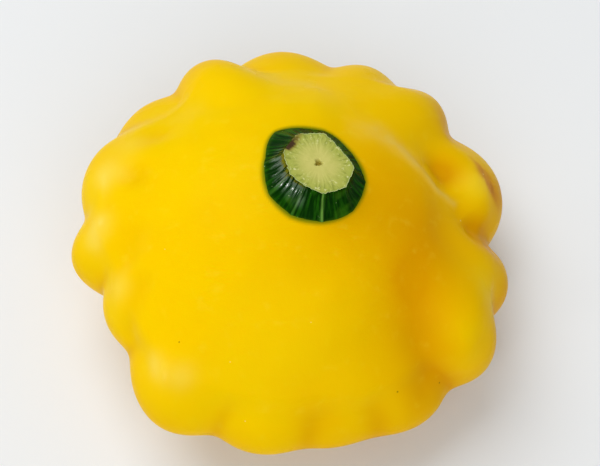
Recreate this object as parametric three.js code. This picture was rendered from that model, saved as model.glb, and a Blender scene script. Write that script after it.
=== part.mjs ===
// Pattypan squash: a small yellow summer squash, grown as one thick scalloped disc with a
// smooth dome on top, a shallower underside and a short green stem, cut off square.
// Millimetres, +Z up. The squash leans a little towards +X, as it comes to rest, and the
// origin lies on the surface under it, straight below the centre of its scalloped rim.
import * as THREE from 'three';
import { mergeVertices } from 'three/addons/utils/BufferGeometryUtils.js';

// The smooth body inside the lobes: a dome above the rim plane and a keel below it
const bodyRadius = 36.7;
const bodyFuller = 2.2;
const bodyFullerBearing = 240;
const domeHeight = 28.5;
const domePower = 2.0;
const keelDepth = 21.0;
const keelPower = 2.2;

// The shoulder is where the lobes run out onto the dome. It starts and ends this many degrees
// up from the rim, and higher on the far side, where the creases climb further.
const shoulderFoot = 1;
const shoulderTop = 16;
const farShoulderLift = 11;

// How tightly the skin runs from lobe to lobe at the rim and above the shoulder, where a
// higher number gives a narrower crease, and the width of the bend between a lobe and the
// body at the rim. Above the shoulder that bend is wider, by each lobe's own number.
const rimTightness = 40;
const upperTightness = 14;
const rimBend = 1;

// How the squash lies: the lean of its own axis and the height of its rim plane
const leanDegrees = 7;
const rimHeight = 20.2;

// The lobes of the rim, counter-clockwise seen from above, from the crease at this bearing.
// Breadth and rise are in degrees, and the others in millimetres: reach to the tip, how far
// the creases beside it lie inside that, the lobe's height over its axis, half its length and
// the width of its bend onto the dome. Under their axes all lobes are equally deep.
const firstCreaseBearing = -1.2;
const lobeDepth = 14;
const lobes = [
  { breadth: 40.5, reach: 46.4, notch: 6.9, height: 16, halfLength: 25, rise: 1, bend: 3 },
  { breadth: 15.5, reach: 44.9, notch: 2.0, height: 21, halfLength: 28, rise: 2, bend: 6 },
  { breadth: 23.0, reach: 44.8, notch: 3.6, height: 18.5, halfLength: 27, rise: 0, bend: 8 },
  { breadth: 31.0, reach: 45.8, notch: 3.5, height: 15, halfLength: 25, rise: -3, bend: 8 },
  { breadth: 21.0, reach: 43.7, notch: 4.0, height: 20, halfLength: 25, rise: 3, bend: 8 },
  { breadth: 22.0, reach: 44.2, notch: 4.1, height: 15, halfLength: 25, rise: -3, bend: 8 },
  { breadth: 23.5, reach: 44.6, notch: 2.1, height: 17.5, halfLength: 25, rise: 4.5, bend: 7 },
  { breadth: 23.0, reach: 45.2, notch: 5.3, height: 17, halfLength: 25, rise: -2, bend: 7 },
  { breadth: 25.5, reach: 42.1, notch: 2.8, height: 16, halfLength: 25, rise: 1.5, bend: 8 },
  { breadth: 25.5, reach: 47.2, notch: 3.6, height: 16, halfLength: 24, rise: -3, bend: 9 },
  { breadth: 24.5, reach: 44.8, notch: 2.2, height: 15, halfLength: 24, rise: -4, bend: 8 },
  { breadth: 22.5, reach: 43.6, notch: 1.2, height: 15, halfLength: 24, rise: -4, bend: 7 },
  { breadth: 20.0, reach: 45.4, notch: 1.5, height: 16, halfLength: 25, rise: -3.5, bend: 5 },
  { breadth: 22.0, reach: 47.3, notch: 3.7, height: 22, halfLength: 32, rise: 0.5, bend: 4 },
  { breadth: 20.5, reach: 45.4, notch: 3.3, height: 17, halfLength: 25, rise: -0.5, bend: 5 },
];

// The stem: a ribbed stub that flares onto the dome beside its top. Its sides from rib to rib
// are nearly round at the base and nearly straight at the cut, where 1 is round and 0 is
// straight. Each rib is given by its radius at the base and at the cut, and each ring by its
// height above the dome's top and how far it has drawn in from the base radius to the cut's.
// The cut across the top slants by its own small angles.
const baseRoundness = 0.8;
const cutRoundness = 0.25;
const stemCentreX = 1.0;
const stemCentreY = 0.4;
const stemLeanX = 1;
const stemGap = 0.3;
const stemEdge = 0.6;
const stemRibs = [
  { bearing: -2, base: 10.1, cut: 6.8 },
  { bearing: 38, base: 9.7, cut: 5.3 },
  { bearing: 80, base: 10.6, cut: 6.4 },
  { bearing: 127, base: 12.0, cut: 6.9 },
  { bearing: 167, base: 10.2, cut: 6.8 },
  { bearing: 208, base: 10.1, cut: 6.2 },
  { bearing: 243, base: 10.3, cut: 5.7 },
  { bearing: 278, base: 10.1, cut: 6.4 },
  { bearing: 318, base: 10.1, cut: 6.8 },
];
const stemRings = [
  { height: 0.9, drawnIn: 0.25 },
  { height: 2.0, drawnIn: 0.6 },
  { height: 3.2, drawnIn: 0.87 },
  { height: 4.5, drawnIn: 1 },
];
const cutSlantX = 5;
const cutSlantY = -2;

// Fineness of the two skins
const columnsPerLobe = 8;
const fruitRows = 36;
const columnsPerRib = 6;
const undersideRings = 3;
const cutRings = 2;

const toRadians = THREE.MathUtils.degToRad;

// Lay the lobes out round the rim, each between its two creases
let creaseBearing = firstCreaseBearing;
for (const lobe of lobes) {
  lobe.start = creaseBearing;
  lobe.bearing = creaseBearing + lobe.breadth / 2;
  creaseBearing += lobe.breadth;
  shapeLobe(lobe);
}

// A lobe is an egg that points outwards. Its width is set so that its skin passes through
// the creases at both of its sides.
function shapeLobe(lobe) {
  const bearing = toRadians(lobe.bearing);
  const rise = toRadians(lobe.rise);
  const halfBreadth = toRadians(lobe.breadth / 2);
  const creaseRadius = lobe.reach - lobe.notch;
  lobe.middle = lobe.reach - lobe.halfLength;
  const along = (creaseRadius * Math.cos(halfBreadth) - lobe.middle) / lobe.halfLength;
  lobe.halfWidth = creaseRadius * Math.sin(halfBreadth) / Math.sqrt(1 - along * along);
  lobe.outwards = new THREE.Vector3(
    Math.cos(rise) * Math.cos(bearing),
    Math.cos(rise) * Math.sin(bearing),
    Math.sin(rise),
  );
  lobe.sideways = new THREE.Vector3(-Math.sin(bearing), Math.cos(bearing), 0);
  lobe.upwards = new THREE.Vector3().crossVectors(lobe.outwards, lobe.sideways);
}

// How far the lobe's skin is from the centre of the rim, in a given direction
function lobeDistance(lobe, direction) {
  const x = direction.dot(lobe.outwards);
  const y = direction.dot(lobe.sideways);
  const z = direction.dot(lobe.upwards);
  const height = z > 0 ? lobe.height : lobeDepth;
  const a = (x / lobe.halfLength) ** 2 + (y / lobe.halfWidth) ** 2 + (z / height) ** 2;
  const b = -2 * lobe.middle * x / lobe.halfLength ** 2;
  const c = (lobe.middle / lobe.halfLength) ** 2 - 1;
  return (-b + Math.sqrt(Math.max(b * b - 4 * a * c, 0))) / (2 * a);
}

// The body's radius at the rim plane: it is a little fuller on one side
function bodyRadiusAt(bearing) {
  return bodyRadius + bodyFuller * Math.cos(bearing - toRadians(bodyFullerBearing));
}

// How far the smooth body's skin is from the centre of the rim, in a given direction
function bodyDistance(direction) {
  const radius = bodyRadiusAt(Math.atan2(direction.y, direction.x));
  const above = direction.z > 0;
  const height = above ? domeHeight : keelDepth;
  const power = above ? domePower : keelPower;
  const level = Math.hypot(direction.x, direction.y) / radius;
  const steep = Math.abs(direction.z) / height;
  return (level ** power + steep ** power) ** (-1 / power);
}

// The share of the way up the shoulder, in a given direction
function shoulderAt(direction) {
  const elevation = THREE.MathUtils.radToDeg(Math.asin(direction.z));
  const lift = farShoulderLift * Math.max(direction.y, 0);
  return THREE.MathUtils.smoothstep(elevation, shoulderFoot + lift, shoulderTop + lift);
}

// The width of the bend from lobe to dome above the shoulder, at a given bearing in degrees:
// it changes evenly from the middle of one lobe to the middle of the next
function bendAt(bearing) {
  const wrapped = (index) => lobes[(index + lobes.length) % lobes.length];
  const turned = (bearing - firstCreaseBearing + 360) % 360 + firstCreaseBearing;
  const index = lobes.findIndex((lobe) => turned < lobe.start + lobe.breadth);
  const lobe = wrapped(index);
  const aside = turned - lobe.bearing;
  const neighbour = wrapped(index + Math.sign(aside));
  const share = Math.abs(aside) / (lobe.breadth / 2 + neighbour.breadth / 2);
  return THREE.MathUtils.lerp(lobe.bend, neighbour.bend, share);
}

// The fruit's skin: the furthest of the lobes, with rounded creases between them, and then
// the body, which bends softly into them
function skinDistance(direction) {
  const shoulder = shoulderAt(direction);
  const tightness = THREE.MathUtils.lerp(rimTightness, upperTightness, shoulder);
  let sum = 0;
  for (const lobe of lobes) {
    sum += lobeDistance(lobe, direction) ** tightness;
  }
  const lobed = sum ** (1 / tightness);
  const body = bodyDistance(direction);
  const bearing = THREE.MathUtils.radToDeg(Math.atan2(direction.y, direction.x));
  const bend = THREE.MathUtils.lerp(rimBend, bendAt(bearing), shoulder);
  const share = THREE.MathUtils.clamp(0.5 + 0.5 * (lobed - body) / bend, 0, 1);
  return THREE.MathUtils.lerp(body, lobed, share) + bend * share * (1 - share);
}

// From the fruit's own axes to the surface that it rests on
const leanTurn = new THREE.Matrix4().makeRotationY(toRadians(leanDegrees));
const restPlace = new THREE.Matrix4().makeTranslation(0, 0, rimHeight).multiply(leanTurn);

// A closed skin: the points of a ball, each moved to where place(around, along) says.
// around goes from 0 to 1 counter-clockwise, and along from 0 at the bottom to 1 at the top.
function closedSkin(columns, rows, place) {
  const ball = new THREE.SphereGeometry(1, columns, rows);
  ball.rotateX(Math.PI / 2);
  ball.deleteAttribute('normal');
  ball.deleteAttribute('uv');
  const skin = mergeVertices(ball, 1e-5);
  const points = skin.getAttribute('position');
  const point = new THREE.Vector3();
  for (let i = 0; i < points.count; i += 1) {
    point.fromBufferAttribute(points, i);
    const around = Math.atan2(point.y, point.x) / (2 * Math.PI) + 0.5;
    const along = Math.asin(THREE.MathUtils.clamp(point.z, -1, 1)) / Math.PI + 0.5;
    const placed = place(around, along).applyMatrix4(restPlace);
    points.setXYZ(i, placed.x, placed.y, Math.max(placed.z, 0));
  }
  skin.computeVertexNormals();
  return skin;
}

// The fruit's grid has the same number of columns on every lobe, from crease to crease, and
// its rows lie closest at the rim. The underside ends in a small flat, where it rests.
function fruitGeometry() {
  return closedSkin(lobes.length * columnsPerLobe, fruitRows, (around, along) => {
    const count = around * lobes.length;
    const index = Math.min(Math.floor(count), lobes.length - 1);
    const bearing = toRadians(lobes[index].start + (count - index) * lobes[index].breadth);
    const level = 2 * along - 1;
    const elevation = (Math.PI / 2) * (0.6 * level + 0.4 * level ** 3);
    const direction = new THREE.Vector3(
      Math.cos(elevation) * Math.cos(bearing),
      Math.cos(elevation) * Math.sin(bearing),
      Math.sin(elevation),
    );
    return direction.multiplyScalar(skinDistance(direction));
  });
}

// The stem's section in the direction of one column, drawn in from the base to the cut by a
// given share: the point on the side between the two ribs beside it
function stemSection(around, drawnIn) {
  const count = around * stemRibs.length;
  const index = Math.min(Math.floor(count), stemRibs.length - 1);
  const next = (index + 1) % stemRibs.length;
  const near = THREE.MathUtils.lerp(stemRibs[index].base, stemRibs[index].cut, drawnIn);
  const far = THREE.MathUtils.lerp(stemRibs[next].base, stemRibs[next].cut, drawnIn);
  const from = toRadians(stemRibs[index].bearing);
  const to = toRadians(stemRibs[next].bearing + (next === 0 ? 360 : 0));
  const nearRib = new THREE.Vector2(near * Math.cos(from), near * Math.sin(from));
  const farRib = new THREE.Vector2(far * Math.cos(to), far * Math.sin(to));
  const side = nearRib.lerp(farRib, count - index);
  const roundness = THREE.MathUtils.lerp(baseRoundness, cutRoundness, drawnIn);
  const roundRadius = THREE.MathUtils.lerp(near, far, count - index);
  return side.setLength(THREE.MathUtils.lerp(side.length(), roundRadius, roundness));
}

// A point on the dome under the stem, lifted clear of it
function overDome(x, y, lift) {
  const level = Math.hypot(x, y) / bodyRadiusAt(Math.atan2(y, x));
  return new THREE.Vector3(x, y, domeHeight * (1 - level ** domePower) ** (1 / domePower) + lift);
}

// The stem's rings, from the middle of its underside, which follows the dome, up the flared
// sides to the cut edge, and in over the flat cut to its middle
function stemGeometry() {
  const firstSideRow = undersideRings + 2;
  const lastSideRow = undersideRings + 1 + stemRings.length;
  const rows = lastSideRow + cutRings;
  const cutHeight = stemRings[stemRings.length - 1].height;
  const leanX = Math.tan(toRadians(stemLeanX));
  const slantX = Math.tan(toRadians(cutSlantX)) / cutHeight;
  const slantY = Math.tan(toRadians(cutSlantY)) / cutHeight;
  return closedSkin(stemRibs.length * columnsPerRib, rows, (around, along) => {
    const row = Math.round(along * rows);
    if (row < firstSideRow) {
      const foot = stemSection(around, 0).multiplyScalar(Math.min(row / undersideRings, 1));
      const lift = row > undersideRings ? stemGap + stemEdge : stemGap;
      return overDome(stemCentreX + foot.x, stemCentreY + foot.y, lift);
    }
    const ring = stemRings[Math.min(row, lastSideRow) - firstSideRow];
    const side = stemSection(around, ring.drawnIn);
    side.multiplyScalar(1 - Math.max(row - lastSideRow, 0) / cutRings);
    const height = ring.height * (1 - side.x * slantX - side.y * slantY);
    return new THREE.Vector3(
      stemCentreX + side.x + height * leanX,
      stemCentreY + side.y,
      domeHeight + height,
    );
  });
}

// The smooth waxy rind of the ripe fruit
const rind = new THREE.MeshStandardMaterial({ color: 0xf2c80e, roughness: 0.35, metalness: 0 });

// The dark green skin of the stem
const stemGreen = new THREE.MeshStandardMaterial({ color: 0x234a10, roughness: 0.4, metalness: 0 });

const fruit = new THREE.Mesh(fruitGeometry(), rind);
fruit.name = 'fruit';

const stem = new THREE.Mesh(stemGeometry(), stemGreen);
stem.name = 'stem';

const squash = new THREE.Group();
squash.name = 'pattypan_squash';
squash.add(fruit, stem);

export default squash;
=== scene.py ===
import math
import bmesh
import bpy
import numpy as np
from mathutils import Color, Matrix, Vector, noise


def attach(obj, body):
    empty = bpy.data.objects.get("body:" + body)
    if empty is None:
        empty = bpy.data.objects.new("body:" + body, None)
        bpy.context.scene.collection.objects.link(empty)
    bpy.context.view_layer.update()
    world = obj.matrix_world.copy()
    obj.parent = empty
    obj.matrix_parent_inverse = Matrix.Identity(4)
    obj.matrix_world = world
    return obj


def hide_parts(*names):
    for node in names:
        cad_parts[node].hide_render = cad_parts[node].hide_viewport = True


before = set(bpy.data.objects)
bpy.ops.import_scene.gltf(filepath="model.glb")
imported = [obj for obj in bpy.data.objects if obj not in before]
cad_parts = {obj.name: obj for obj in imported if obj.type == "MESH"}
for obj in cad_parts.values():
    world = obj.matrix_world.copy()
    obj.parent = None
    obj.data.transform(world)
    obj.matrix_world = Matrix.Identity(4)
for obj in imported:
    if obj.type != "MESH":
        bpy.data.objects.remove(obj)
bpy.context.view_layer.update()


# The fruit. A small ripe summer squash, grown in one piece: a thick scalloped disc of firm
# flesh under a thin waxy yellow rind. Its lobes swell out of the smooth dome all round the
# rim. It is held by nothing and lies on its own flattened underside, leaning a little.

# How it lies: the height of its rim plane, and how far its own axis leans to the right
RIM_HEIGHT = 0.0202
LEAN = math.radians(7)

# The body inside the lobes: a dome over a shallower keel, a little fuller towards one
# bearing. At a power of 2 its side is an ellipse, and above that it is squarer.
BODY_RADIUS = 0.0367
BODY_FULLER = 0.0022
BODY_FULLER_BEARING = math.radians(240)
DOME_HEIGHT = 0.0285
KEEL_DEPTH = 0.0210
DOME_POWER = 2.0
KEEL_POWER = 2.2

# The lobes, counter-clockwise from above, from the crease at this bearing. Width and rise
# are in degrees, and the rest in metres: the reach of the tip, how far the creases beside it
# lie inside that, its height, half its length and how wide its bend onto the dome is.
FIRST_CREASE_BEARING = -1.2
LOBES = [
    dict(width=40.5, reach=0.0464, notch=0.0069, height=0.0160, half=0.025, rise=1, bend=0.0030),
    dict(width=15.5, reach=0.0449, notch=0.0020, height=0.0210, half=0.028, rise=2, bend=0.0040),
    dict(width=23.0, reach=0.0448, notch=0.0036, height=0.0185, half=0.027, rise=0, bend=0.0040),
    dict(width=31.0, reach=0.0450, notch=0.0035, height=0.0162, half=0.025, rise=-1.5, bend=0.0035),
    dict(width=21.0, reach=0.0437, notch=0.0040, height=0.0200, half=0.025, rise=3, bend=0.0035),
    dict(width=25.5, reach=0.0438, notch=0.0023, height=0.0160, half=0.025, rise=-2, bend=0.0025),
    dict(width=20.0, reach=0.0445, notch=0.0016, height=0.0172, half=0.025, rise=3.5, bend=0.0040),
    dict(width=23.0, reach=0.0452, notch=0.0053, height=0.0170, half=0.025, rise=-2, bend=0.0050),
    dict(width=25.5, reach=0.0421, notch=0.0028, height=0.0160, half=0.025, rise=1.5, bend=0.0070),
    dict(width=25.5, reach=0.0472, notch=0.0036, height=0.0160, half=0.024, rise=-3, bend=0.0090),
    dict(width=24.5, reach=0.0448, notch=0.0022, height=0.0150, half=0.024, rise=-4, bend=0.0080),
    dict(width=22.5, reach=0.0436, notch=0.0012, height=0.0150, half=0.024, rise=-4, bend=0.0070),
    dict(width=20.0, reach=0.0454, notch=0.0015, height=0.0160, half=0.025, rise=-3.5, bend=0.0050),
    dict(width=22.0, reach=0.0473, notch=0.0037, height=0.0220, half=0.032, rise=0.5, bend=0.0040),
    dict(width=20.5, reach=0.0454, notch=0.0033, height=0.0170, half=0.025, rise=-0.5, bend=0.0030),
]

# Under their axes all lobes are equally deep, and at the rim all bends are equally narrow
LOBE_DEPTH = 0.014
RIM_BEND = 0.0010

# How tightly the skin runs from lobe to lobe: tight at the rim, and softer going up the dome
RIM_TIGHTNESS = 40
UPPER_TIGHTNESS = 14

# Where the lobes start to run out onto the dome and where they have, in degrees up from the
# rim, and how much higher that lies on the far side, where the creases climb further
SHOULDER_FOOT = 1
SHOULDER_TOP = 16
FAR_SHOULDER_LIFT = 11

# Furrows in the skin, each a line of places: bearing and elevation from the middle of the
# rim, in degrees, then how deep it sinks and half its width, in metres
FURROWS = [
    [(315.0, 2.0, 0.0007, 0.0030), (312.5, 11.0, 0.0018, 0.0040), (312.0, 20.0, 0.0015, 0.0042),
     (314.5, 30.0, 0.0010, 0.0046), (317.0, 38.0, 0.0006, 0.0050), (321.0, 46.0, 0.0, 0.0060)],
    [(306.0, 3.0, 0.0, 0.0040), (306.5, 9.0, 0.0007, 0.0046), (310.0, 16.0, 0.0, 0.0046)],
    [(26.5, 27.5, 0.0, 0.0026), (21.5, 28.0, 0.0014, 0.0028), (15.5, 26.5, 0.0015, 0.0028),
     (10.0, 24.5, 0.0004, 0.0026), (1.0, 22.5, 0.0008, 0.0028), (358.5, 18.0, 0.0020, 0.0034),
     (358.0, 12.0, 0.0018, 0.0034), (1.0, 4.0, 0.0004, 0.0026)],
    [(277.0, 2.0, 0.0, 0.0030), (277.0, 8.0, 0.0007, 0.0044), (272.0, 15.0, 0.0004, 0.0048),
     (268.0, 24.0, 0.0, 0.0052)],
    [(172.0, 31.0, 0.0, 0.0026), (172.0, 26.5, 0.0009, 0.0026), (171.0, 23.0, 0.0, 0.0024)],
    [(192.0, 29.0, 0.0, 0.0030), (193.0, 24.5, 0.0006, 0.0030), (199.0, 20.5, 0.0006, 0.0030),
     (200.0, 10.0, 0.0, 0.0026)],
    [(154.0, 29.0, 0.0, 0.0028), (154.0, 26.0, 0.0007, 0.0028), (153.0, 22.0, 0.0, 0.0026)],
    [(210.0, 26.0, 0.0, 0.0028), (210.5, 20.5, 0.0008, 0.0028), (217.0, 9.0, 0.0005, 0.0022)],
    [(292.5, 2.0, 0.0, 0.0030), (292.0, 7.0, 0.0004, 0.0038), (290.0, 14.0, 0.0, 0.0042)],
]

# Ridges in the skin, in the same way, with how high each swells
RIDGES = [
    [(29.0, 19.0, 0.0, 0.0046), (22.5, 22.5, 0.0012, 0.0046), (14.0, 21.5, 0.0019, 0.0044),
     (6.0, 17.5, 0.0014, 0.0040), (3.0, 11.0, 0.0, 0.0036)],
    [(316.0, 6.0, 0.0, 0.0040), (316.5, 12.0, 0.0011, 0.0042), (322.5, 22.0, 0.0012, 0.0048),
     (334.0, 22.5, 0.0008, 0.0050), (346.0, 21.0, 0.0006, 0.0046), (354.0, 17.0, 0.0, 0.0040)],
    [(115.0, 28.0, 0.0, 0.0056), (110.0, 34.0, 0.0007, 0.0062), (103.0, 46.0, 0.0, 0.0070)],
    [(187.0, 12.0, 0.0, 0.0036), (186.0, 17.0, 0.0005, 0.0036), (182.0, 23.0, 0.0, 0.0036)],
    [(229.0, 8.0, 0.0, 0.0040), (233.0, 11.5, 0.0008, 0.0038), (242.0, 12.5, 0.0, 0.0038)],
]

# A low wrinkle that runs from behind the stem down to the lobe on its right, in the same way.
# A painted sheen, a pale streak of reflection, is strongest on it, and in full where it is
# as high as this.
SHEEN_WRINKLE = [
    (64.0, 60.0, 0.0, 0.0036), (44.0, 51.0, 0.0002, 0.0026), (30.0, 47.0, 0.0003, 0.0019),
    (18.0, 42.0, 0.0003, 0.0013), (9.0, 35.0, 0.0003, 0.0009), (5.5, 26.5, 0.0002, 0.0008),
]
FULL_SHEEN_HEIGHT = 0.0004

# Growth is never quite even: how far it strays, and how often, as swells over the radius
GROWTH_STRAYS = 0.00035
BROAD_SWELLS = 2.6
FINE_SWELLS = 6.0
FINE_SWELL_SHARE = 0.5

# How wide the underside bends where it meets the surface
PRESSED_EDGE = 0.0006

# Patches of painted shade, where the rind is painted a deeper gold, and where a negative
# strength takes some of the other painted shade away: bearing, elevation and half width in
# degrees, and how strongly
PAINTED_SHADE_PATCHES = [
    (357.0, 38.0, 12.0, 0.20),
    (342.0, 38.0, 12.0, 0.30),
    (324.0, 40.0, 12.0, 0.40),
    (312.0, 27.0, 9.0, 0.25),
    (308.0, 9.0, 9.0, 0.40),
    (350.0, 62.0, 24.0, 0.50),
    (280.0, 66.0, 20.0, 0.20),
    (38.0, 16.0, 7.0, 0.50),
    (13.0, 9.0, 6.0, 0.70),
    (19.0, 27.0, 5.0, 0.30),
    (13.0, 21.0, 6.0, -0.45),
    (358.0, 14.0, 7.0, 0.40),
    (346.0, 4.0, 7.0, 0.45),
    (333.0, 5.0, 6.0, 0.35),
    (240.0, 55.0, 24.0, 0.12),
    (118.0, 12.0, 12.0, 0.30),
    (95.0, 8.0, 10.0, 0.20),
    (142.0, 4.0, 9.0, 0.15),
    (318.0, 38.0, 6.0, 0.25),
    (299.0, 26.0, 12.0, 0.20),
    (18.0, 28.0, 4.0, 0.30),
    (323.0, 20.0, 5.0, -0.30),
    (316.0, 12.0, 5.0, -0.25),
    (340.0, 19.0, 5.0, -0.25),
]

# How much painted shade deepens the gold in the creases, within about this far of the middle
# of one, and in the furrows, in full where one is as deep as this
CREASE_SHADE = 0.35
CREASE_WIDTH = 0.0016
FURROW_SHADE = 0.55
FULL_FURROW_DEPTH = 0.0022

# How much painted shade deepens it on the right, the side away from the light, setting in
# between these shares of the way across, and under the rim, setting in between these
# elevations in degrees
SIDE_SHADE = 0.30
SIDE_LIMITS = (-0.2, 0.9)
UNDER_RIM_SHADE = 0.52
UNDER_LIMITS = (-16, 11)

# The dry scar on the lobe to the right of the stem: where it runs, as bearing and elevation
# in degrees, how strong it is, and half its width in metres
SCAR = [
    (23.0, 17.5, 0.3, 0.0014), (18.5, 16.0, 0.8, 0.0022), (13.5, 13.5, 1.0, 0.0020),
    (10.0, 9.5, 0.3, 0.0012),
]

# Where the rind is waxiest, with a glossier coat, and where a painted highlight makes its
# colour paler: bearing, elevation and half width in degrees, and how strongly
GLOSS_AND_HIGHLIGHT_PATCHES = [
    (170.0, 18.0, 4.5, 0.9),
    (160.0, 22.0, 5.0, 0.5),
    (186.0, 16.0, 4.0, 0.8),
    (189.0, 12.0, 3.5, 0.7),
    (206.0, 15.0, 4.0, 0.6),
    (230.0, 12.0, 3.5, 0.8),
    (237.0, 14.0, 4.0, 0.6),
    (14.0, 20.0, 5.0, 0.4),
]

# Specks in the skin: bearing, elevation and half width in degrees, and whether each is pale
SPECKS = [
    (231.7, 20.3, 0.35, False),
    (299.4, 11.2, 0.45, False),
    (313.0, 5.0, 0.40, False),
    (337.5, 8.0, 0.45, False),
    (272.5, 38.0, 0.25, True),
    (360.0, 23.0, 0.40, True),
    (17.5, 16.5, 0.40, True),
    (248.0, 22.0, 0.22, True),
    (205.0, 33.0, 0.22, True),
    (257.0, 6.5, 0.25, True),
]
SPECK_STRENGTH = 0.85


def paint(red, green, blue):
    """A colour by its usual 0 to 255 values, as the shader takes it."""
    light = Color((red / 255, green / 255, blue / 255)).from_srgb_to_scene_linear()
    return (*light, 1.0)


FRESH_YELLOW = paint(250, 206, 0)
CLOUDED_YELLOW = paint(246, 190, 0)
# The deeper gold that the painted shade takes the rind to
PAINTED_SHADE_GOLD = paint(224, 158, 0)
PALE_MOTTLE = paint(255, 226, 60)
# The pale colour of the painted highlights
PAINTED_HIGHLIGHT = paint(255, 228, 90)
# The pale colour of the painted sheen
PAINTED_SHEEN = paint(236, 200, 92)
DRY_SCAR = paint(206, 130, 2)
SCAR_HEART = paint(178, 100, 0)
GREENED_RIND = paint(112, 124, 8)
PALE_SPECK = paint(255, 240, 150)
DARK_SPECK = paint(130, 84, 6)


def lobe_distance(lobe, crease, directions):
    """How far the skin of the lobe that starts at this crease is, in each direction."""
    bearing = math.radians(crease + lobe["width"] / 2)
    half_breadth = math.radians(lobe["width"] / 2)
    rise = math.radians(lobe["rise"])
    crease_radius = lobe["reach"] - lobe["notch"]
    half_length = lobe["half"]
    middle = lobe["reach"] - half_length
    along = (crease_radius * math.cos(half_breadth) - middle) / half_length
    half_width = crease_radius * math.sin(half_breadth) / math.sqrt(1 - along**2)
    outwards = np.array([
        math.cos(rise) * math.cos(bearing),
        math.cos(rise) * math.sin(bearing),
        math.sin(rise),
    ])
    sideways = np.array([-math.sin(bearing), math.cos(bearing), 0.0])
    upwards = np.cross(outwards, sideways)
    x, y, z = directions @ outwards, directions @ sideways, directions @ upwards
    height = np.where(z > 0, lobe["height"], LOBE_DEPTH)
    a = (x / half_length) ** 2 + (y / half_width) ** 2 + (z / height) ** 2
    b = -2 * middle * x / half_length**2
    c = (middle / half_length) ** 2 - 1
    return (-b + np.sqrt(np.maximum(b * b - 4 * a * c, 0))) / (2 * a)


def body_radius(bearing):
    """The body's radius at the rim plane: it is a little fuller on one side."""
    return BODY_RADIUS + BODY_FULLER * np.cos(bearing - BODY_FULLER_BEARING)


def body_distance(directions):
    """How far the skin of the smooth body is, in each direction."""
    x, y, z = directions.T
    height = np.where(z > 0, DOME_HEIGHT, KEEL_DEPTH)
    power = np.where(z > 0, DOME_POWER, KEEL_POWER)
    level = np.hypot(x, y) / body_radius(np.arctan2(y, x))
    return (level**power + (np.abs(z) / height) ** power) ** (-1 / power)


def direction_to(bearing, elevation):
    """The direction from the middle of the rim at this bearing and elevation, in degrees."""
    around, up = math.radians(bearing), math.radians(elevation)
    return Vector((math.cos(up) * math.cos(around), math.cos(up) * math.sin(around), math.sin(up)))


def leaning(x, z):
    """Where the lean takes a point of the upright fruit, across and up."""
    return x * math.cos(LEAN) + z * math.sin(LEAN), z * math.cos(LEAN) - x * math.sin(LEAN)


def smooth_step(low, high, value):
    """From 0 below low to 1 above high, with soft ends."""
    share = np.clip((value - low) / (high - low), 0, 1)
    return share * share * (3 - 2 * share)


def bell(off, half_width):
    """From 1 in the middle, where off is 0, softly down to nearly 0 at twice the half width."""
    return np.exp(-((off / half_width) ** 2))


# A ball from a cube, so that its squares are of like size all over and it has no pole
CUBE_CUTS = 119
ball = bmesh.new()
bmesh.ops.create_cube(ball, size=2)
bmesh.ops.subdivide_edges(ball, edges=ball.edges[:], cuts=CUBE_CUTS, use_grid_fill=True)
fruit_mesh = bpy.data.meshes.new("ripe_fruit")
ball.to_mesh(fruit_mesh)
ball.free()
point_count = len(fruit_mesh.vertices)
points = np.empty(point_count * 3)
fruit_mesh.vertices.foreach_get("co", points)
points = np.tan(points.reshape(-1, 3) * math.pi / 4)
directions = points / np.linalg.norm(points, axis=1)[:, None]

# The lobes, with the creases between them
lobe_skins = []
crease = FIRST_CREASE_BEARING
for lobe in LOBES:
    lobe_skins.append(lobe_distance(lobe, crease, directions))
    crease += lobe["width"]
lobe_skins = np.array(lobe_skins)
elevation = np.degrees(np.arcsin(directions[:, 2]))
lift = FAR_SHOULDER_LIFT * np.clip(directions[:, 1], 0, 1)
shoulder = smooth_step(SHOULDER_FOOT + lift, SHOULDER_TOP + lift, elevation)
tightness = RIM_TIGHTNESS + (UPPER_TIGHTNESS - RIM_TIGHTNESS) * shoulder
ranked = np.sort(lobe_skins, axis=0)
ratios = lobe_skins / ranked[-1]
lobed = ranked[-1] * (ratios**tightness).sum(axis=0) ** (1 / tightness)

# The body, which bends softly into each lobe
bearing = np.degrees(np.arctan2(directions[:, 1], directions[:, 0])) % 360
widths = np.array([lobe["width"] for lobe in LOBES])
middles = FIRST_CREASE_BEARING + np.cumsum(widths) - widths / 2
bend = np.interp(bearing, middles, [lobe["bend"] for lobe in LOBES], period=360)
bend = RIM_BEND + (bend - RIM_BEND) * shoulder
body = body_distance(directions)
toward_lobe = np.clip(0.5 + 0.5 * (lobed - body) / bend, 0, 1)
distance = body + (lobed - body) * toward_lobe + bend * toward_lobe * (1 - toward_lobe)
in_crease = bell(ranked[-1] - ranked[-2], CREASE_WIDTH) * (lobed > body) * (1 - shoulder)


def height_along(line, directions, distance):
    """How much a furrow takes off the distance in each direction, or a ridge adds."""
    depth = np.zeros(len(directions))
    for start, end in zip(line, line[1:]):
        near, far = np.array(direction_to(*start[:2])), np.array(direction_to(*end[:2]))
        step = far - near
        share = np.clip((directions - near) @ step / (step @ step), 0, 1)
        aside = np.linalg.norm(directions - near - share[:, None] * step, axis=1) * distance
        deep = start[2] + (end[2] - start[2]) * share
        wide = start[3] + (end[3] - start[3]) * share
        depth = np.maximum(depth, deep * bell(aside, wide))
    return depth


in_furrow = np.zeros(point_count)
for furrow in FURROWS:
    depth = height_along(furrow, directions, distance)
    in_furrow = np.maximum(in_furrow, depth / FULL_FURROW_DEPTH)
    distance -= depth
for ridge in [*RIDGES, SHEEN_WRINKLE]:
    distance += height_along(ridge, directions, distance)


def swell_at(direction):
    """How far growth has strayed in this direction, as a share."""
    broad = noise.noise(direction * BROAD_SWELLS)
    return broad + FINE_SWELL_SHARE * noise.noise(direction * FINE_SWELLS)


distance += GROWTH_STRAYS * np.array([swell_at(Vector(direction)) for direction in directions])

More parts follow.
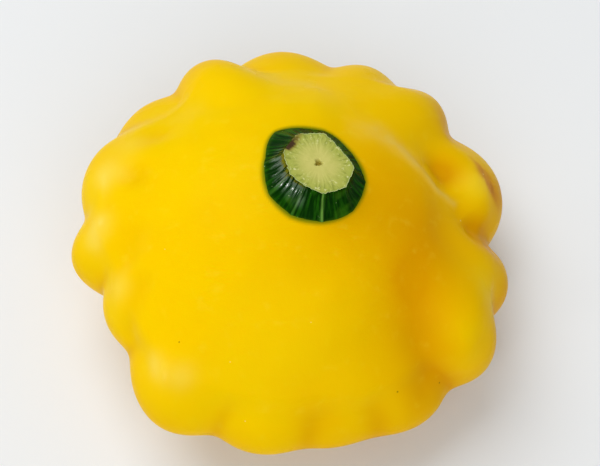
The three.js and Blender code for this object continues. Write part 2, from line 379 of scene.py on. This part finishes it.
# Lean it, lift it to where its rim lies, and press its underside onto the surface
own = directions * distance[:, None]
placed = own.copy()
placed[:, 0], placed[:, 2] = leaning(own[:, 0], own[:, 2])
placed[:, 2] += RIM_HEIGHT
placed[:, 2] = (placed[:, 2] + np.hypot(placed[:, 2], PRESSED_EDGE)) / 2
placed[:, 2] -= placed[:, 2].min()
fruit_mesh.vertices.foreach_set("co", placed.ravel())
fruit_mesh.update()
for polygon in fruit_mesh.polygons:
    polygon.use_smooth = True


def keep_on_skin(mesh, name, values):
    """One number per point of the mesh, kept under a name for its material to read."""
    mesh.attributes.new(name, "FLOAT", "POINT").data.foreach_set("value", values)


def patches_of(places):
    """The sum of soft round patches of the skin, in each direction."""
    total = np.zeros(point_count)
    for patch_bearing, patch_elevation, half_width, strength in places:
        toward = directions @ np.array(direction_to(patch_bearing, patch_elevation))
        off = np.degrees(np.arccos(np.clip(toward, -1, 1)))
        total += strength * bell(off, half_width)
    return total


# Painted shade: the rind is painted a deeper gold in its creases and furrows, on its right side,
# under the rim and in patches
deeper = CREASE_SHADE * in_crease + FURROW_SHADE * in_furrow
deeper += SIDE_SHADE * smooth_step(*SIDE_LIMITS, directions[:, 0])
deeper += UNDER_RIM_SHADE * (1 - smooth_step(*UNDER_LIMITS, elevation))
deeper += patches_of(PAINTED_SHADE_PATCHES)
# Painted sheen along the wrinkle
bloom = height_along(SHEEN_WRINKLE, directions, distance) / FULL_SHEEN_HEIGHT
keep_on_skin(fruit_mesh, "deeper", np.clip(deeper, 0, 1))
# Where the coat is glossier and a painted highlight pales the rind
keep_on_skin(fruit_mesh, "waxy", np.clip(patches_of(GLOSS_AND_HIGHLIGHT_PATCHES), 0, 1))
keep_on_skin(fruit_mesh, "scar", height_along(SCAR, directions, distance))
keep_on_skin(fruit_mesh, "bloom", bloom)


def feed(tree, socket, value):
    """Set a socket to a value, or link it to the socket that feeds it."""
    if isinstance(value, bpy.types.NodeSocket):
        tree.links.new(value, socket)
    else:
        socket.default_value = value


def add_node(tree, kind, inputs=None, **settings):
    """A node of this kind, with its settings and its sockets, by name or number, filled in."""
    node = tree.nodes.new(kind)
    for name, value in settings.items():
        setattr(node, name, value)
    for key, value in (inputs or {}).items():
        feed(tree, node.inputs[key], value)
    return node


def read_skin(tree, name, output="Fac"):
    """What was kept on the mesh under this name: a number, or a vector."""
    return add_node(tree, "ShaderNodeAttribute", attribute_name=name).outputs[output]


def cloud(tree, place, scale, detail):
    """A cloudy pattern, from 0 to 1 and mostly near a half: the higher the scale, the finer."""
    inputs = {"Vector": place, "Scale": scale, "Detail": detail}
    return add_node(tree, "ShaderNodeTexNoise", inputs).outputs[0]


def mix_paint(tree, share, first, second):
    """The first colour, turning into the second as share goes from 0 to 1."""
    node = add_node(tree, "ShaderNodeMix", data_type="RGBA")
    feed(tree, node.inputs[0], share)
    feed(tree, node.inputs[6], first)
    feed(tree, node.inputs[7], second)
    return node.outputs[2]


def multiply(tree, first, second):
    """The product of two values."""
    return add_node(tree, "ShaderNodeMath", {0: first, 1: second}, operation="MULTIPLY").outputs[0]


def rescale(tree, value, from_low, from_high, to_low=0.0, to_high=1.0):
    """Where value lies between two limits, as a share between two others, with soft ends."""
    node = add_node(tree, "ShaderNodeMapRange", interpolation_type="SMOOTHSTEP")
    for number, limit in enumerate((value, from_low, from_high, to_low, to_high)):
        feed(tree, node.inputs[number], limit)
    return node.outputs[0]


# Each pattern is rescaled from the limits between which it sets in to how strongly it shows
rind = bpy.data.materials.new("waxy_yellow_rind")
rind.use_nodes = True
tree = rind.node_tree
shader = tree.nodes["Principled BSDF"]
place = add_node(tree, "ShaderNodeTexCoord").outputs["Object"]
clouded = cloud(tree, place, 60, 3)
mottled = cloud(tree, place, 400, 3)
pores = cloud(tree, place, 1500, 2)
waxy = read_skin(tree, "waxy")
clouding = rescale(tree, clouded, 0.35, 0.75, 0, 0.3)
yellow = mix_paint(tree, clouding, FRESH_YELLOW, CLOUDED_YELLOW)
# Painted shade: deeper gold in the creases and furrows, on the right side, under the rim and in
# patches
yellow = mix_paint(tree, read_skin(tree, "deeper"), yellow, PAINTED_SHADE_GOLD)
yellow = mix_paint(tree, rescale(tree, mottled, 0.55, 0.8, 0, 0.12), yellow, PALE_MOTTLE)
# Painted highlight: the rind is paler in the patches
yellow = mix_paint(tree, rescale(tree, waxy, 0, 1, 0, 0.35), yellow, PAINTED_HIGHLIGHT)
# Painted sheen: a pale, patchy streak of reflection along the wrinkle
patchy_sheen = multiply(tree, read_skin(tree, "bloom"), rescale(tree, mottled, 0.3, 0.6, 0.5, 0.85))
yellow = mix_paint(tree, patchy_sheen, yellow, PAINTED_SHEEN)
ragged_scar = multiply(tree, read_skin(tree, "scar"), rescale(tree, mottled, 0.3, 0.6, 0.6, 1.0))
yellow = mix_paint(tree, rescale(tree, ragged_scar, 0.05, 0.7, 0, 0.85), yellow, DRY_SCAR)
yellow = mix_paint(tree, rescale(tree, ragged_scar, 0.62, 0.95, 0, 0.45), yellow, SCAR_HEART)
yellow = mix_paint(tree, read_skin(tree, "green_ring"), yellow, GREENED_RIND)

# Each speck is a small round spot in its own direction from the middle of the rim
from_middle = add_node(
    tree, "ShaderNodeVectorMath", {0: place, 1: (0, 0, RIM_HEIGHT)}, operation="SUBTRACT"
).outputs[0]
outward = add_node(tree, "ShaderNodeVectorMath", {0: from_middle}, operation="NORMALIZE").outputs[0]
for speck_bearing, speck_elevation, half_width, is_pale in SPECKS:
    own_x, own_y, own_z = direction_to(speck_bearing, speck_elevation)
    across, up = leaning(own_x, own_z)
    speck_direction = {0: outward, 1: (across, own_y, up)}
    off = add_node(tree, "ShaderNodeVectorMath", speck_direction, operation="DISTANCE")
    spot = rescale(tree, off.outputs["Value"], 0, math.radians(half_width), SPECK_STRENGTH, 0)
    yellow = mix_paint(tree, spot, yellow, PALE_SPECK if is_pale else DARK_SPECK)

feed(tree, shader.inputs["Base Color"], yellow)
feed(tree, shader.inputs["Roughness"], rescale(tree, clouded, 0.3, 0.7, 0.24, 0.32))
feed(tree, shader.inputs["Coat Weight"], multiply(tree, waxy, 0.5))
shader.inputs["Coat Roughness"].default_value = 0.3
shader.inputs["IOR"].default_value = 1.06
shader.inputs["Specular Tint"].default_value = (1.0, 0.95, 0.75, 1.0)
shader.inputs["Subsurface Weight"].default_value = 0.15
shader.inputs["Subsurface Radius"].default_value = (1.0, 0.55, 0.08)
shader.inputs["Subsurface Scale"].default_value = 0.003
half_pores = multiply(tree, pores, 0.5)
relief = add_node(tree, "ShaderNodeMath", {0: half_pores, 1: mottled}, operation="ADD").outputs[0]
bumpy = add_node(tree, "ShaderNodeBump", {"Height": relief, "Strength": 0.25, "Distance": 0.0001})
feed(tree, shader.inputs["Normal"], bumpy.outputs[0])

ripe_fruit = bpy.data.objects.new("ripe_fruit", fruit_mesh)
bpy.context.scene.collection.objects.link(ripe_fruit)
fruit_mesh.materials.append(rind)
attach(ripe_fruit, "root")
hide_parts("fruit")


# The stem. The short stub that the squash hung by, grown as one with the fruit: nine soft
# ribs under a tough, glossy dark green skin, which flare out onto the dome. A knife took it
# off square, and its end shows the pale stringy core with a small hollow in the middle.

# Where it stands beside the fruit's own axis, how far its foot sinks into the dome, how high
# the cut is over the dome's top, and how far the cut shifts and slants to the right and back
STEM_CENTRE = (0.0010, 0.0004)
STEM_SUNK = 0.0004
CUT_HEIGHT = 0.0045
CUT_SHIFT = 0.00008
CUT_SLANT = (math.tan(math.radians(5)), math.tan(math.radians(-2)))

# Each rib's bearing in degrees, its radius at the base and at the cut, in metres, and how
# pale a line runs down it
STEM_RIBS = [
    (-2, 0.0102, 0.0068, 0.0),
    (38, 0.0097, 0.0053, 0.1),
    (80, 0.0111, 0.0063, 0.1),
    (127, 0.0125, 0.0068, 0.1),
    (167, 0.0102, 0.0068, 0.2),
    (208, 0.0101, 0.0062, 0.15),
    (243, 0.0103, 0.0057, 0.2),
    (278, 0.0101, 0.0064, 1.0),
    (318, 0.0101, 0.0068, 0.1),
]

# How far a rib stands out, how far the skin between the ribs lies in, as a share of that, and
# half the width of a rib and of its pale line, in degrees
RIB_STANDS = 0.00030
VALLEY_SHARE = 0.3
RIB_WIDTH = 5.0
PALE_LINE_WIDTH = 1.5

# The sides from rib to rib: round at 1 and straight at 0. The flank draws in from the base to
# the cut by this power, quickly at first.
BASE_ROUNDNESS = 0.8
CUT_ROUNDNESS = 0.25
FLARE_POWER = 1.8

# The strings in the skin: how far they stand out on the flank, and at the torn edge of the cut.
# The first power moves where they and the ribs are strongest to below halfway up the flank, and
# the second keeps the torn edge to its very top. Last, how many strings there are, as swells
# round the stem and up it.
STRINGS_STAND = 0.00014
MIDDLE_POWER = 0.8
TORN_EDGE_STANDS = 0.00022
TORN_EDGE_POWER = 6
STRINGS_ROUND = 16
STRINGS_UP = 1.2

# The fibres in the cut, in the same way, and between which shares of the way out they set in
FIBRES_STAND = 0.00010
FIBRES_ROUND = 9
FIBRES_OUT = 3
FIBRE_LIMITS = (0.2, 0.8)

# The hollow in the middle of the cut. Its soft edge lies between two shares of its radius, and
# it bulges three ways by one share and five ways by a smaller one.
HOLLOW_RADIUS = 0.00065
HOLLOW_DEPTH = 0.0009
HOLLOW_EDGE = (0.5, 1.15)
THREE_BULGES = 0.25
FIVE_BULGES = 0.12
BULGE_TURN = 0.6

# A film of dried sap down the left flank: its bearing and half its breadth in degrees, and
# between which shares of the way up it sets in
SAP_BEARING = 200
SAP_BREADTH = 58
SAP_LIMITS = (0.2, 0.45)

# A brown bruise along the edge of the cut: its bearing and half its breadth in degrees, and
# how far in it reaches, as a share of the cut's radius
BRUISE_BEARING = 146
BRUISE_BREADTH = 26
BRUISE_WIDTH = 0.18

# How wide the ring is in which the green runs out into the rind
RING_WIDTH = 0.0006

DARK_GREEN = paint(7, 44, 3)
STREAK_GREEN = paint(30, 86, 8)
BLOTCH_GREEN = paint(52, 100, 14)
LINE_GREEN = paint(112, 160, 66)
PALE_GRIT = paint(190, 214, 150)
FOOT_GREEN = paint(60, 98, 10)
CORE_PALE = paint(206, 200, 108)
CORE_OUTER = paint(170, 178, 74)
CORE_PULP = paint(182, 184, 84)
DARK_STRAND = paint(128, 138, 42)
# The colour of the painted glints on the cut
PAINTED_GLINT = paint(228, 226, 158)
UNDER_SKIN = paint(140, 156, 62)
CUT_EDGE = paint(204, 214, 146)
BRUISE_RIM = paint(128, 106, 20)
BRUISE_BROWN = paint(58, 30, 2)
HOLLOW_BROWN = paint(168, 150, 44)

# The stub is a ball whose rows become the underside, the flank and the cut, from below up
COLUMNS_PER_RIB = 32
UNDERSIDE_ROWS = 4
FLANK_ROWS = 30
CUT_ROWS = 26
edge_row = UNDERSIDE_ROWS + FLANK_ROWS
stem_rows = edge_row + CUT_ROWS
stem_columns = COLUMNS_PER_RIB * len(STEM_RIBS)
stub = bmesh.new()
bmesh.ops.create_uvsphere(stub, u_segments=stem_columns, v_segments=stem_rows, radius=1)


def place_in_order(point, offset):
    """Where a point of the ball comes when counted row by row, from below up."""
    up = (math.asin(max(-1, min(1, point.z / point.length))) / math.pi + 0.5) * stem_rows
    around = math.atan2(point.y, point.x) / (2 * math.pi) * stem_columns
    return math.floor(up + offset) * stem_columns + math.floor(around + offset) % stem_columns


# Its points and faces come in another order each time, so they are put in this one
stub.verts.sort(key=lambda vert: place_in_order(vert.co, 0.5))
stub.faces.sort(key=lambda face: place_in_order(face.calc_center_median(), 0))
stem_mesh = bpy.data.meshes.new("cut_stem")
stub.to_mesh(stem_mesh)
stub.free()
points = np.empty(len(stem_mesh.vertices) * 3)
stem_mesh.vertices.foreach_get("co", points)
points = points.reshape(-1, 3)
row = np.round((np.arcsin(np.clip(points[:, 2], -1, 1)) / math.pi + 0.5) * stem_rows)
around = np.arctan2(points[:, 1], points[:, 0])
bearings = np.degrees(around)


def rib_to_rib(bearing, drawn_in):
    """The stem's radius at each bearing: round at the base, with straighter sides at the cut."""
    angles = np.radians([rib[0] for rib in STEM_RIBS] + [STEM_RIBS[0][0] + 360])
    base = np.array([rib[1] for rib in STEM_RIBS] + [STEM_RIBS[0][1]])
    cut = np.array([rib[2] for rib in STEM_RIBS] + [STEM_RIBS[0][2]])
    turned = (bearing - angles[0]) % (2 * math.pi) + angles[0]
    rib = np.clip(np.searchsorted(angles, turned, side="right") - 1, 0, len(STEM_RIBS) - 1)
    near = base[rib] + (cut[rib] - base[rib]) * drawn_in
    far = base[rib + 1] + (cut[rib + 1] - base[rib + 1]) * drawn_in
    before, after = turned - angles[rib], angles[rib + 1] - turned
    straight = near * far * np.sin(before + after) / (near * np.sin(before) + far * np.sin(after))
    curved = near + (far - near) * smooth_step(0, 1, before / (before + after))
    roundness = BASE_ROUNDNESS + (CUT_ROUNDNESS - BASE_ROUNDNESS) * drawn_in
    return straight + (curved - straight) * roundness


def degrees_from(bearing):
    """How many degrees each point of the stem is away from this bearing, either way."""
    return np.abs((bearings - bearing + 180) % 360 - 180)


def strung(across, along, times_round, times_along):
    """A stringy pattern that runs along the stem, or out from the middle of its cut."""
    return np.array([
        noise.noise(Vector((math.cos(a) * times_round, math.sin(a) * times_round, l * times_along)))
        for a, l in zip(across, along)
    ])


# The share of the way up the flank, and of the way out from the middle of the cut or of
# the underside, with the rings of the cut closer together towards its edge
RING_GATHER = 1.15
climb = np.clip((row - UNDERSIDE_ROWS) / FLANK_ROWS, 0, 1)
outwards = np.clip((stem_rows - row) / CUT_ROWS, 0, 1) ** RING_GATHER
outwards = np.where(row < UNDERSIDE_ROWS, row / UNDERSIDE_ROWS, outwards)
on_cut = row > edge_row

# Each rib stands out a little and the skin is strung lengthwise, most of all below the middle
# of the flank and again at the torn edge of the cut
radius = rib_to_rib(around, 1 - (1 - climb) ** FLARE_POWER)
from_ribs = np.array([degrees_from(rib[0]) for rib in STEM_RIBS])
rib_share = bell(from_ribs.min(axis=0), RIB_WIDTH) - VALLEY_SHARE
strings = strung(around, climb, STRINGS_ROUND, STRINGS_UP)
on_flank = np.sin(math.pi * climb**MIDDLE_POWER)
radius += (RIB_STANDS * rib_share + STRINGS_STAND * strings) * on_flank
radius += TORN_EDGE_STANDS * strings * climb**TORN_EDGE_POWER
x = STEM_CENTRE[0] + radius * outwards * np.cos(around) + CUT_SHIFT * climb
y = STEM_CENTRE[1] + radius * outwards * np.sin(around)

# From the dome up to the slanted cut, which is rough and has the hollow in it
level = np.hypot(x, y) / body_radius(np.arctan2(y, x))
on_dome = DOME_HEIGHT * np.sqrt(1 - level**2) - STEM_SUNK
slant = (x - STEM_CENTRE[0]) * CUT_SLANT[0] + (y - STEM_CENTRE[1]) * CUT_SLANT[1]
at_cut = DOME_HEIGHT + CUT_HEIGHT - slant
z = on_dome + (at_cut - on_dome) * climb
fibres = strung(around, outwards, FIBRES_ROUND, FIBRES_OUT)
z += on_cut * FIBRES_STAND * fibres * smooth_step(*FIBRE_LIMITS, outwards)
bulges = THREE_BULGES * np.cos(3 * around + BULGE_TURN) + FIVE_BULGES * np.cos(5 * around)
hollow = HOLLOW_RADIUS * (1 + bulges)
z -= on_cut * HOLLOW_DEPTH * (1 - smooth_step(*HOLLOW_EDGE, radius * outwards / hollow))

across, up = leaning(x, z)
stem_points = np.stack([across, y, up + RIM_HEIGHT], axis=1)
stem_mesh.vertices.foreach_set("co", stem_points.ravel())
stem_mesh.update()

pale_line = sum(rib[3] * bell(off, PALE_LINE_WIDTH) for rib, off in zip(STEM_RIBS, from_ribs))
sap = smooth_step(-SAP_BREADTH, -SAP_BREADTH / 2, -degrees_from(SAP_BEARING))
bruise = bell(degrees_from(BRUISE_BEARING), BRUISE_BREADTH) * bell(1 - outwards, BRUISE_WIDTH)
keep_on_skin(stem_mesh, "pale_line", pale_line)
keep_on_skin(stem_mesh, "sap", sap * smooth_step(*SAP_LIMITS, climb))
keep_on_skin(stem_mesh, "bruise", bruise)
keep_on_skin(stem_mesh, "climb", climb)
keep_on_skin(stem_mesh, "outwards", outwards)
string_places = np.stack(
    [np.cos(around), np.sin(around), np.where(on_cut, outwards, climb)], axis=1
)
string_place = stem_mesh.attributes.new("string_place", "FLOAT_VECTOR", "POINT")
string_place.data.foreach_set("vector", string_places.ravel())

stem_skin = bpy.data.materials.new("glossy_green_skin")
stem_skin.use_nodes = True
tree = stem_skin.node_tree
shader = tree.nodes["Principled BSDF"]
place = add_node(tree, "ShaderNodeTexCoord").outputs["Object"]
lengthwise = read_skin(tree, "string_place", "Vector")
stretched = add_node(tree, "ShaderNodeMapping", {"Vector": lengthwise, "Scale": (16, 16, 1.6)})
streaks = cloud(tree, stretched.outputs[0], 1.0, 5)
blotches = cloud(tree, place, 260, 2)
grit = cloud(tree, place, 1900, 1)
green = mix_paint(tree, rescale(tree, streaks, 0.38, 0.72), DARK_GREEN, STREAK_GREEN)
green = mix_paint(tree, rescale(tree, blotches, 0.55, 0.7, 0, 0.6), green, BLOTCH_GREEN)
line_breaks = rescale(tree, streaks, 0.3, 0.6, 0.4, 1.0)
broken_line = multiply(tree, read_skin(tree, "pale_line"), line_breaks)
green = mix_paint(tree, broken_line, green, LINE_GREEN)
green = mix_paint(tree, rescale(tree, grit, 0.74, 0.8, 0, 0.8), green, PALE_GRIT)
at_foot = rescale(tree, read_skin(tree, "climb"), 0.0, 0.14, 0.7, 0)
green = mix_paint(tree, at_foot, green, FOOT_GREEN)
feed(tree, shader.inputs["Base Color"], green)
feed(tree, shader.inputs["Roughness"], rescale(tree, blotches, 0.3, 0.7, 0.17, 0.32))
sap_streaks = multiply(tree, read_skin(tree, "sap"), rescale(tree, streaks, 0.40, 0.54))
feed(tree, shader.inputs["Coat Weight"], sap_streaks)
shader.inputs["Coat Roughness"].default_value = 0.2
shader.inputs["Coat IOR"].default_value = 1.9
shader.inputs["IOR"].default_value = 1.07
shader.inputs["Specular Tint"].default_value = (0.75, 1.0, 0.7, 1.0)
raised = add_node(tree, "ShaderNodeBump", {"Height": streaks, "Strength": 0.5, "Distance": 0.0005})
feed(tree, shader.inputs["Normal"], raised.outputs[0])

stem_core = bpy.data.materials.new("pale_cut_core")
stem_core.use_nodes = True
tree = stem_core.node_tree
shader = tree.nodes["Principled BSDF"]
place = add_node(tree, "ShaderNodeTexCoord").outputs["Object"]
radial = read_skin(tree, "string_place", "Vector")
stretched = add_node(tree, "ShaderNodeMapping", {"Vector": radial, "Scale": (10, 10, 4)})
strands = cloud(tree, stretched.outputs[0], 1.0, 3)
pulp = cloud(tree, place, 520, 3)
glint_spots = cloud(tree, place, 1700, 1)
out = read_skin(tree, "outwards")
outer_ring = rescale(tree, out, 0.5, 0.85)
pale = mix_paint(tree, rescale(tree, out, 0.3, 0.95), CORE_PALE, CORE_OUTER)
pale = mix_paint(tree, rescale(tree, pulp, 0.4, 0.7, 0, 0.45), pale, CORE_PULP)
dark_strands = multiply(tree, outer_ring, rescale(tree, strands, 0.48, 0.66, 0, 0.65))
pale = mix_paint(tree, dark_strands, pale, DARK_STRAND)
# Painted glints: small bright specks in the outer part of the cut
painted_glints = multiply(tree, outer_ring, rescale(tree, glint_spots, 0.6, 0.72, 0, 0.7))
pale = mix_paint(tree, painted_glints, pale, PAINTED_GLINT)
pale = mix_paint(tree, rescale(tree, out, 0.93, 0.98, 0, 0.8), pale, UNDER_SKIN)
pale = mix_paint(tree, rescale(tree, out, 0.975, 0.99, 0, 0.8), pale, CUT_EDGE)
ragged_bruise = multiply(tree, read_skin(tree, "bruise"), rescale(tree, pulp, 0.35, 0.6, 0.5, 1.2))
pale = mix_paint(tree, rescale(tree, ragged_bruise, 0.08, 0.6, 0, 0.7), pale, BRUISE_RIM)
pale = mix_paint(tree, rescale(tree, ragged_bruise, 0.4, 0.8, 0, 0.95), pale, BRUISE_BROWN)
pale = mix_paint(tree, rescale(tree, out, 0.05, 0.13, 1, 0), pale, HOLLOW_BROWN)
feed(tree, shader.inputs["Base Color"], pale)
shader.inputs["Roughness"].default_value = 0.5
shader.inputs["Specular IOR Level"].default_value = 0.3
raised = add_node(tree, "ShaderNodeBump", {"Height": pulp, "Strength": 0.5, "Distance": 0.0003})
feed(tree, shader.inputs["Normal"], raised.outputs[0])

stem_mesh.materials.append(stem_skin)
stem_mesh.materials.append(stem_core)
for polygon in stem_mesh.polygons:
    polygon.use_smooth = True
    polygon.material_index = int(min(row[list(polygon.vertices)]) >= edge_row)
for edge in stem_mesh.edges:
    edge.use_edge_sharp = set(row[list(edge.vertices)]) == {edge_row}

# The stem's green runs out into the rind in a thin ring round its base
own_x, own_y = own[:, 0] - STEM_CENTRE[0], own[:, 1] - STEM_CENTRE[1]
past_stem = np.hypot(own_x, own_y) - rib_to_rib(np.arctan2(own_y, own_x), 0)
green_ring = np.where(own[:, 2] > 0, 1 - smooth_step(-RING_WIDTH, RING_WIDTH, past_stem), 0)
keep_on_skin(fruit_mesh, "green_ring", green_ring)

cut_stem = bpy.data.objects.new("cut_stem", stem_mesh)
bpy.context.scene.collection.objects.link(cut_stem)
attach(cut_stem, "root")
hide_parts("stem")


# The surface that the squash lies on. A wide, flat sheet of plain pale card with a dull
# face, laid level and held by its own weight.
FLOOR_HALF_WIDTH = 1.5
FLOOR_SQUARES = 8
CARD_WHITE = paint(237, 239, 240)
CARD_ROUGHNESS = 0.7
floor_sheet = bmesh.new()
bmesh.ops.create_grid(
    floor_sheet, x_segments=FLOOR_SQUARES, y_segments=FLOOR_SQUARES, size=FLOOR_HALF_WIDTH
)
floor_mesh = bpy.data.meshes.new("pale_floor")
floor_sheet.to_mesh(floor_mesh)
floor_sheet.free()
card = bpy.data.materials.new("pale_card")
card.use_nodes = True
shader = card.node_tree.nodes["Principled BSDF"]
shader.inputs["Base Color"].default_value = CARD_WHITE
shader.inputs["Roughness"].default_value = CARD_ROUGHNESS
floor_mesh.materials.append(card)
pale_floor = bpy.data.objects.new("pale_floor", floor_mesh)
bpy.context.scene.collection.objects.link(pale_floor)


# The light. A wide soft skylight overhead, behind and to the left, an even wider fill from
# the front, two small low windows on the left for the gloss, and a dim pale room all round.
# Each lamp's name, the way to it and how far off it is, its width and height, and its power:
# metres and watts
LAMPS = [
    ("skylight", (-0.33, 0.40, 0.86), 1.9, 1.5, 1.5, 21),
    ("window", (-0.91, 0.34, 0.20), 1.8, 0.20, 0.18, 1.8),
    ("window_front", (-0.78, -0.58, 0.18), 1.8, 0.14, 0.14, 1.8),
    ("front_fill", (0.04, -0.76, 0.64), 1.9, 2.0, 2.0, 17),
]
ROOM_COLOUR = (0.96, 0.98, 1.0, 1.0)
ROOM_STRENGTH = 0.33

# Each is a flat lamp, turned to face the squash
for name, way, far_off, width, height, watts in LAMPS:
    lamp = bpy.data.lights.new(name, "AREA")
    lamp.shape = "RECTANGLE"
    lamp.size = width
    lamp.size_y = height
    lamp.energy = watts
    holder = bpy.data.objects.new(name, lamp)
    bpy.context.scene.collection.objects.link(holder)
    toward = Vector(way)
    holder.location = toward.normalized() * far_off
    holder.rotation_euler = toward.to_track_quat("Z", "Y").to_euler()

room = bpy.data.worlds.new("pale_room")
room.use_nodes = True
room.node_tree.nodes["Background"].inputs["Color"].default_value = ROOM_COLOUR
room.node_tree.nodes["Background"].inputs["Strength"].default_value = ROOM_STRENGTH
bpy.context.scene.world = room
bpy.context.scene.view_settings.view_transform = "Standard"


# The camera. It looks from the front and well above, through a short telephoto lens, at a
# point a little right of the middle of the rim and a little above it in the picture.
CAMERA_ELEVATION = math.radians(63.5)
CAMERA_DISTANCE = 0.286
AIM_RIGHT = 0.00165
AIM_UP = 0.00185
FOCAL_LENGTH_MM = 83.3
SENSOR_WIDTH_MM = 36
NEAREST_SEEN = 0.01
backwards = Vector((0, -math.cos(CAMERA_ELEVATION), math.sin(CAMERA_ELEVATION)))
upwards = Vector((0, math.sin(CAMERA_ELEVATION), math.cos(CAMERA_ELEVATION)))
aim = Vector((AIM_RIGHT, 0, RIM_HEIGHT)) + upwards * AIM_UP
lens = bpy.data.cameras.new("camera")
lens.sensor_width = SENSOR_WIDTH_MM
lens.lens = FOCAL_LENGTH_MM
lens.clip_start = NEAREST_SEEN
camera = bpy.data.objects.new("camera", lens)
bpy.context.scene.collection.objects.link(camera)
camera.location = aim + backwards * CAMERA_DISTANCE
camera.rotation_euler = backwards.to_track_quat("Z", "Y").to_euler()
bpy.context.scene.camera = camera
